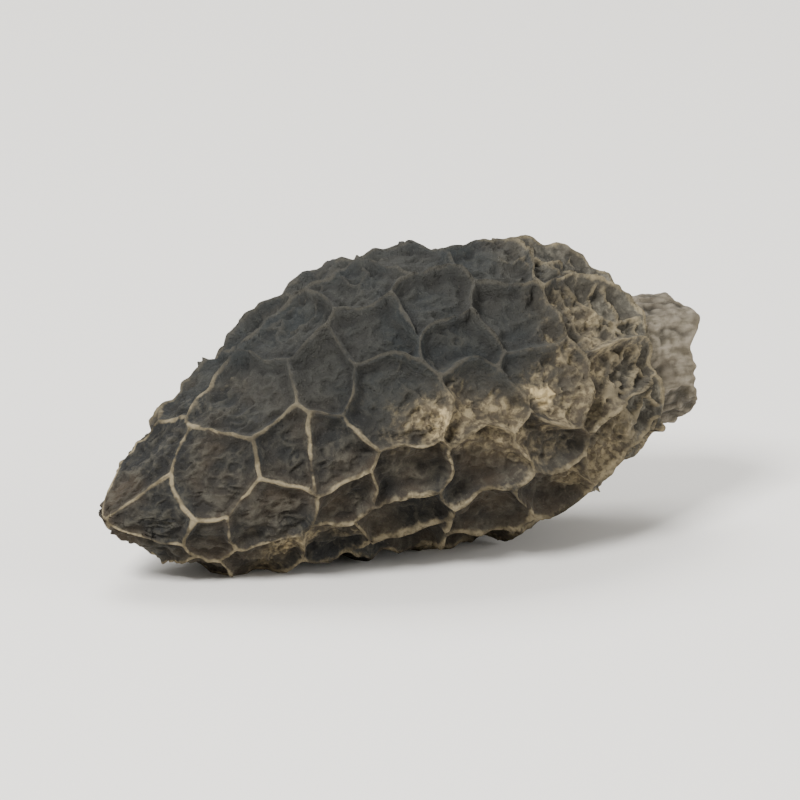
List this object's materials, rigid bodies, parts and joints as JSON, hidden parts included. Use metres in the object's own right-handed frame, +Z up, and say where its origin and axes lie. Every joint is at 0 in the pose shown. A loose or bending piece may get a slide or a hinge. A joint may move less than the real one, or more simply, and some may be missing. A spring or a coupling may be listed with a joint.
{
  "type": "black morel mushroom",
  "caption": "Dried black morel lying on its side: a hollow, pointed cap with a raised net of ridges round deep pits, on a short cut stem that is open at its end.",
  "frame": {"origin": "centre of the bounding box in plan, at the height of the surface the morel lies on", "axes": "+X from the cap's tip towards the cut end of the stem, +Z up, +Y to the left seen from the tip towards the stem"},
  "size_m": [0.039, 0.0202, 0.0188],
  "materials": {
    "dried_morel": "matt, charcoal brown in the pits with paler tan ridge edges and a pale tan stem"
  },
  "bodies": {
    "root": {"morel": "dried_morel"}
  },
  "joints": []
}
